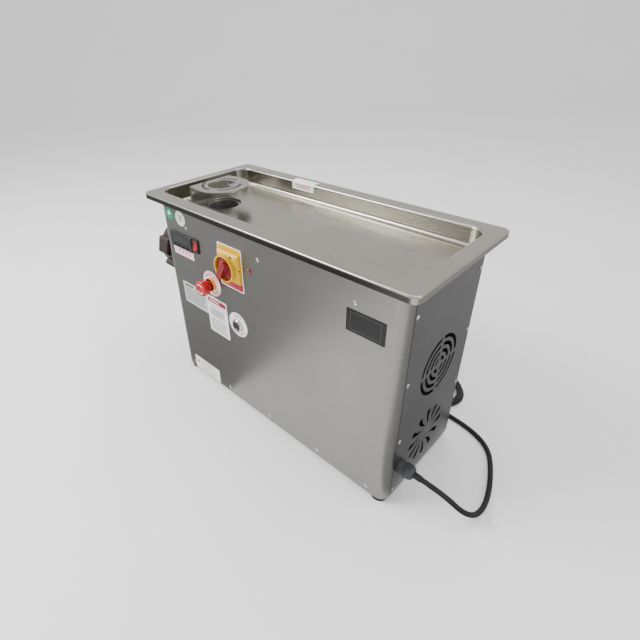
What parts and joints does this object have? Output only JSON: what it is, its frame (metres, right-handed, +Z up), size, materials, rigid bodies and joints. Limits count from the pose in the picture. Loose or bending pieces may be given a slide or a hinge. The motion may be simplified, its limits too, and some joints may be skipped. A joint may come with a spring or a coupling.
{
  "type": "refrigerated meat mincer",
  "caption": "Refrigerated tabletop meat mincer: stainless cabinet with a feed tray on top, geared mincing head leaving the left end, and a small cooling set inside.",
  "frame": {"origin": "on the floor under the feet, in the middle of the machine's box measured without its free cord", "axes": "+X along the cabinet from the mincing head's outlet to the cable end, -Y out of the control panel, +Z up"},
  "size_m": [0.8799, 0.4521, 0.492],
  "materials": {
    "stainless_sheet": "satin brushed stainless sheet",
    "tray_steel": "pressed satin stainless",
    "frame_steel": "mill-finish folded stainless",
    "fasteners": "bright stainless",
    "rubber": "matt black rubber",
    "head_casting": "machined stainless casting",
    "nut_casting": "dark cast nut",
    "tool_steel": "ground tool steel",
    "knob_plastic": "black moulded plastic",
    "aluminium_casting": "cast aluminium",
    "copper": "copper tube",
    "condenser_fins": "thin fins on copper tube",
    "foam": "closed-cell foam",
    "bearing_steel": "ground steel",
    "gear_steel": "machined steel",
    "motor_paint": "grey machine paint",
    "windings": "laminations and varnished copper",
    "compressor_paint": "black enamel",
    "grey_plastic": "grey moulded plastic",
    "gland_plastic": "dark grey nylon",
    "black_gloss": "black gloss plastic",
    "black_plastic": "black plastic",
    "red_gloss": "red gloss plastic",
    "lamp_lens": "dark red lens",
    "yellow_plastic": "yellow plastic",
    "orange_plastic": "orange plastic",
    "button_bezel": "chromed ring",
    "label_film": "printed film",
    "plate_black": "black printed plate",
    "cord_rubber": "black cable sheath"
  },
  "bodies": {
    "root": {"base_plate": "frame_steel", "bearings": "bearing_steel", "cable_gland": "gland_plastic", "compressor": "compressor_paint", "compressor_mounts": "rubber", "condenser": "condenser_fins", "contactor": "grey_plastic", "cooling_saddle": "aluminium_casting", "cord_coil": "cord_rubber", "corner_posts": "frame_steel", "electrical_box": "grey_plastic", "emergency_stop_base": "orange_plastic", "evaporator_coil": "copper", "fan_frame": "knob_plastic", "feed_guard": "tray_steel", "filter_drier": "copper", "front_panel": "stainless_sheet", "gearbox_cover": "aluminium_casting", "gearbox_housing": "aluminium_casting", "hex_bolts": "fasteners", "indicator_lamp": "lamp_lens", "insulation": "foam", "labels": "label_film", "left_end_panel": "stainless_sheet", "machine_stands": "frame_steel", "mincer_barrel": "head_casting", "mincing_plate": "tool_steel", "motor_end_cover": "motor_paint", "motor_housing": "motor_paint", "motor_stator": "windings", "name_plate": "plate_black", "panel_screws": "fasteners", "plug": "black_plastic", "power_cord": "cord_rubber", "rear_panel": "stainless_sheet", "refrigerant_lines": "copper", "right_end_panel": "stainless_sheet", "rocker_housing": "black_plastic", "rubber_feet": "rubber", "shaft_seal": "rubber", "start_button_base": "button_bezel", "switch_escutcheon": "yellow_plastic", "thermostat": "black_gloss", "top_frame": "frame_steel", "tray": "tray_steel"},
    "feed_drive": {"feed_screw": "head_casting", "knife": "tool_steel", "output_shaft": "bearing_steel", "output_gear": "gear_steel"},
    "layshaft_assembly": {"layshaft": "gear_steel", "layshaft_gear": "gear_steel"},
    "motor_shaft": {"motor_rotor": "gear_steel", "motor_fan": "knob_plastic"},
    "condenser_fan": {"fan_rotor": "knob_plastic"},
    "outlet_nut": {"ring_nut": "nut_casting"},
    "lock_knob": {"head_lock_knob": "knob_plastic"},
    "main_switch": {"switch_handle": "red_gloss"},
    "stop_button": {"emergency_stop_button": "red_gloss"},
    "start_key": {"start_button": "black_gloss"},
    "power_rocker": {"rocker": "red_gloss"}
  },
  "joints": [
    {"name": "feed_spin", "type": "hinge", "parent": "root", "child": "feed_drive", "pos_m": [0, -0.01525, 0.302], "axis": [1, 0, 0], "continuous": true},
    {"name": "layshaft_spin", "type": "hinge", "parent": "root", "child": "layshaft_assembly", "pos_m": [0, -0.02775, 0.23109], "axis": [1, 0, 0], "continuous": true},
    {"name": "motor_spin", "type": "hinge", "parent": "root", "child": "motor_shaft", "pos_m": [0, 0.0015, 0.18043], "axis": [1, 0, 0], "continuous": true},
    {"name": "condenser_fan_spin", "type": "hinge", "parent": "root", "child": "condenser_fan", "pos_m": [0, 0.01675, 0.266], "axis": [1, 0, 0], "continuous": true},
    {"name": "ring_nut_turn", "type": "hinge", "parent": "root", "child": "outlet_nut", "pos_m": [-0.377, -0.01525, 0.302], "axis": [1, 0, 0], "range_deg": [0, 360]},
    {"name": "head_knob_turn", "type": "hinge", "parent": "root", "child": "lock_knob", "pos_m": [-0.307, 0.07275, 0.294], "axis": [1, 0, 0], "range_deg": [0, 720]},
    {"name": "main_switch_turn", "type": "hinge", "parent": "root", "child": "main_switch", "pos_m": [-0.0515, -0.11925, 0.38], "axis": [0, 1, 0], "range_deg": [0, 60]},
    {"name": "stop_press", "type": "slide", "parent": "root", "child": "stop_button", "axis": [0, 1, 0], "range_m": [0, 0.0036]},
    {"name": "start_press", "type": "slide", "parent": "root", "child": "start_key", "axis": [0, 1, 0], "range_m": [0, 0.003], "stiffness_N_per_m": 400},
    {"name": "rocker_tilt", "type": "hinge", "parent": "root", "child": "power_rocker", "pos_m": [-0.1655, -0.11625, 0.389], "axis": [1, 0, 0], "range_deg": [0, 16]}
  ],
  "couplings": [
    {"joint": "layshaft_spin", "follows": "feed_spin", "ratio": -3},
    {"joint": "motor_spin", "follows": "feed_spin", "ratio": 10}
  ]
}
